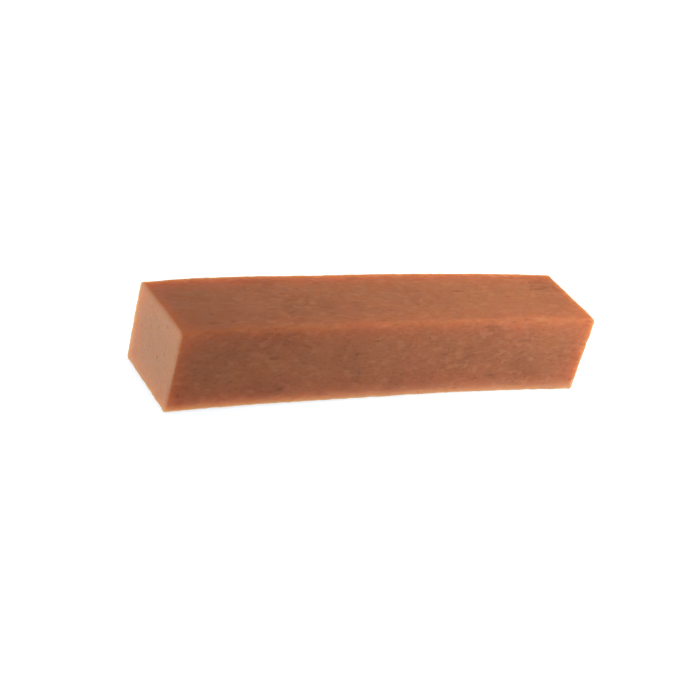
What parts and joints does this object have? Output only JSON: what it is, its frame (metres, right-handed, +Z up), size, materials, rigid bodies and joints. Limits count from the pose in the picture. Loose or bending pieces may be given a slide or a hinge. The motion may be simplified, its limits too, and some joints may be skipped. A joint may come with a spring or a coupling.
{
  "type": "belt cleaning stick",
  "caption": "Plain rectangular bar of tan crepe rubber, slightly bowed, with rounded long edges and square-cut ends, pressed on a moving sanding belt or disc to clean it.",
  "frame": {"origin": "middle of the underside of the bar's bounding box, on the surface it lies on", "axes": "+X along the bar, +Y across it towards the outside of its slight bow, +Z up"},
  "size_m": [0.1968, 0.044, 0.036],
  "materials": {
    "crepe_rubber": "matt, slightly waxy, a little translucent at thin edges"
  },
  "bodies": {
    "root": {"crepe_rubber_bar": "crepe_rubber"}
  },
  "joints": []
}
